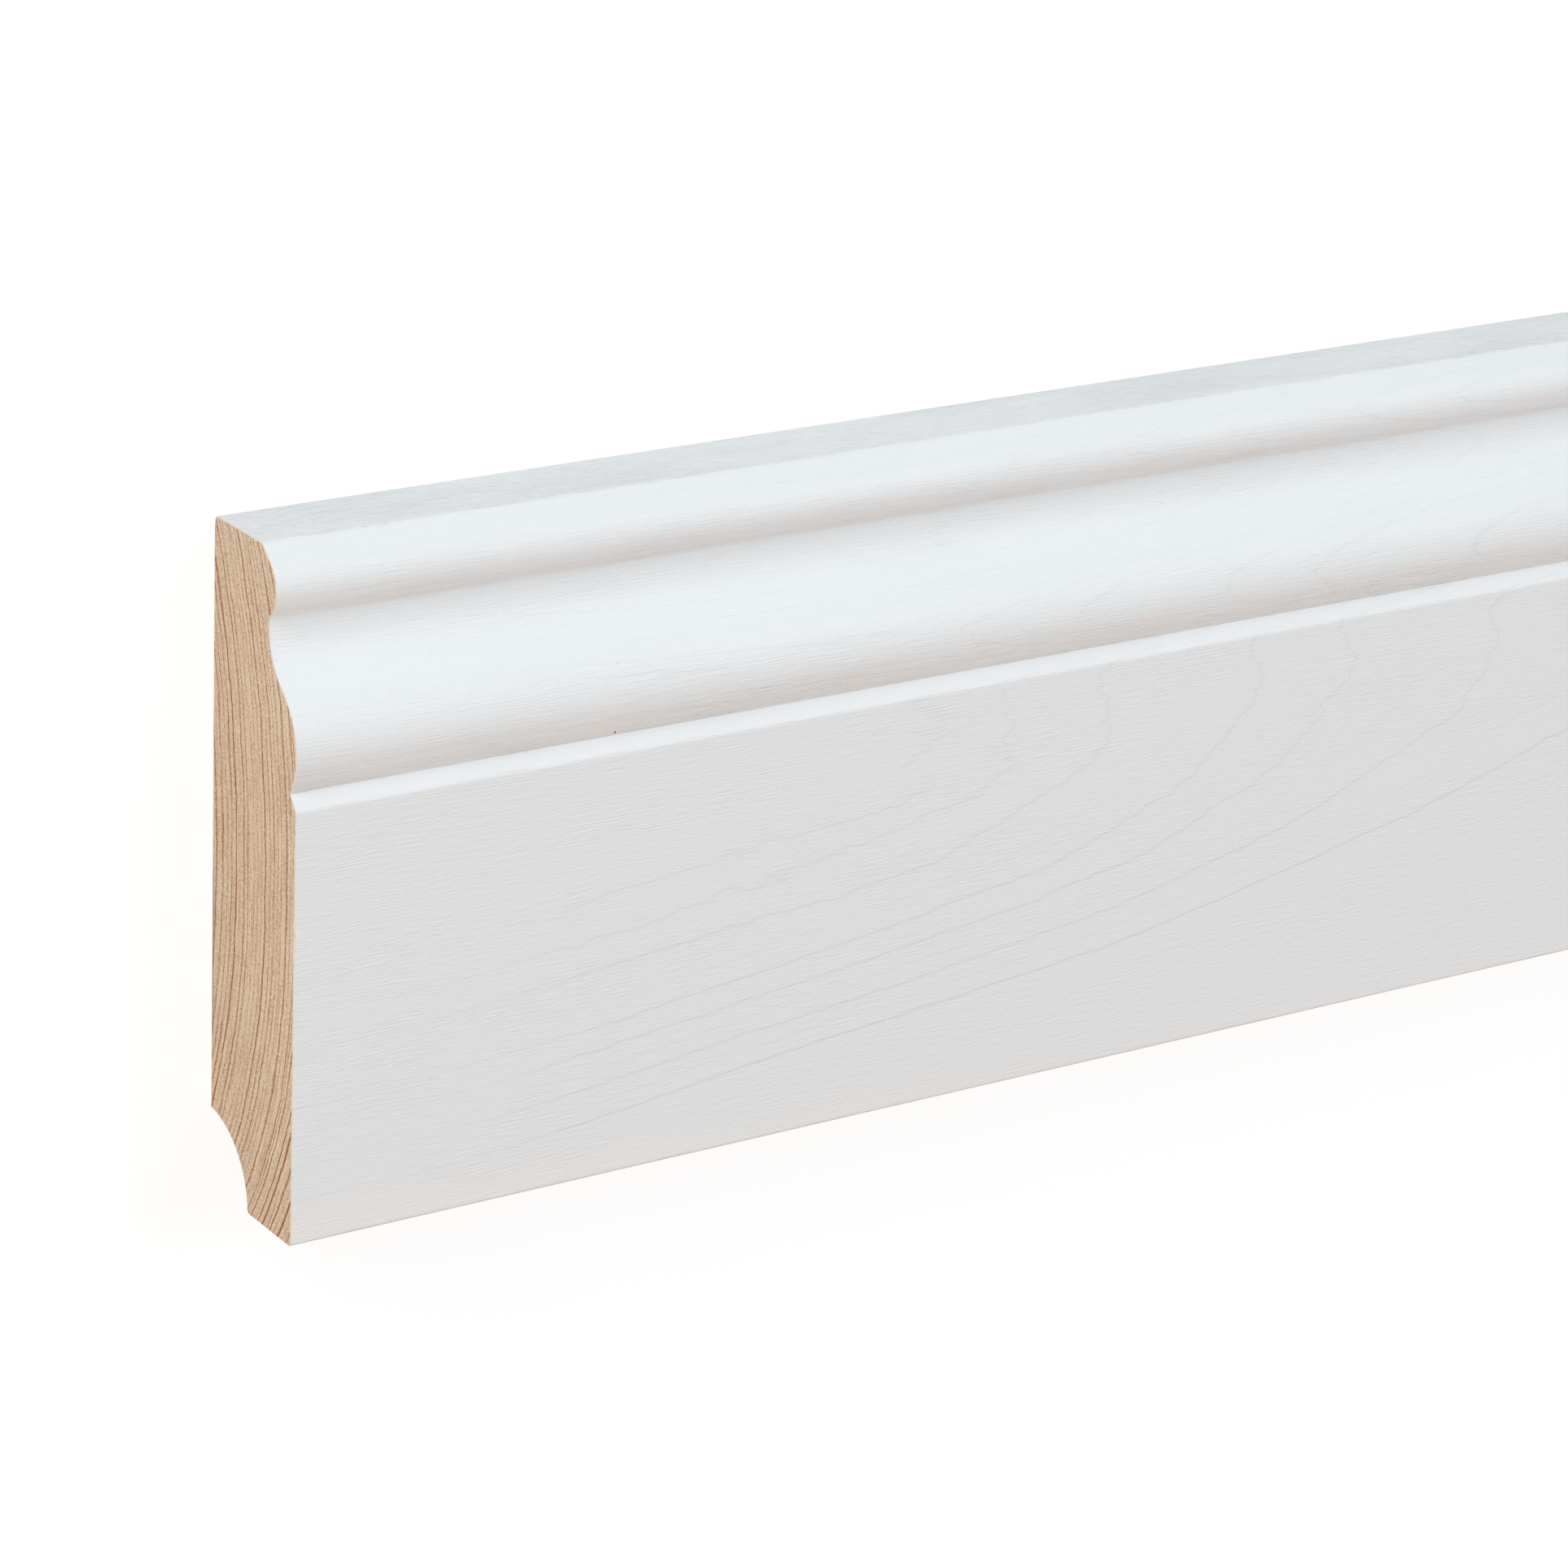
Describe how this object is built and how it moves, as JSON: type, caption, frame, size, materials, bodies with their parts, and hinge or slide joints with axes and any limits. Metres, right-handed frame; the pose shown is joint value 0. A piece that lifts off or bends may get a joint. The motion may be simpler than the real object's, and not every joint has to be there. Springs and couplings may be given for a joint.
{
  "type": "skirting board",
  "caption": "Straight length of solid wood skirting with an ogee moulding along its top and a cable cove behind its floor edge.",
  "frame": {"origin": "middle of the flat back: halfway along the length and halfway between floor edge and top edge", "axes": "+X along the length, away from the left end; +Y from the floor edge to the top edge; +Z out of the moulded face"},
  "size_m": [2.4, 0.08, 0.019],
  "materials": {
    "lacquered_wood": "white lacquer, satin; sawn ends bare softwood"
  },
  "bodies": {
    "root": {"skirting_board": "lacquered_wood"}
  },
  "joints": []
}
